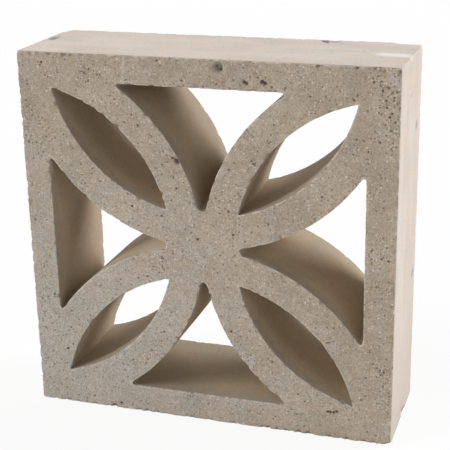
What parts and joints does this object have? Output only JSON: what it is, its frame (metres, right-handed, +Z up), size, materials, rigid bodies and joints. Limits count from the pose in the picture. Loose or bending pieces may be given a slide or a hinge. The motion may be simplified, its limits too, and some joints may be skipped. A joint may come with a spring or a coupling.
{
  "type": "concrete screen block",
  "caption": "Square pierced concrete block: a plain border around leaf-shaped openings between curved ribs that meet at a central hub, for laying in open garden and screen walls.",
  "frame": {"origin": "middle of the bottom bed face", "axes": "+Z up the face, +X along the course, +Y through the wall, with the open-grained face towards -Y"},
  "size_m": [0.29, 0.09, 0.29],
  "materials": {
    "concrete": "matt fair-faced concrete, open-grained on the faces and smoother on the moulded sides"
  },
  "bodies": {
    "root": {"screen_block": "concrete"}
  },
  "joints": []
}
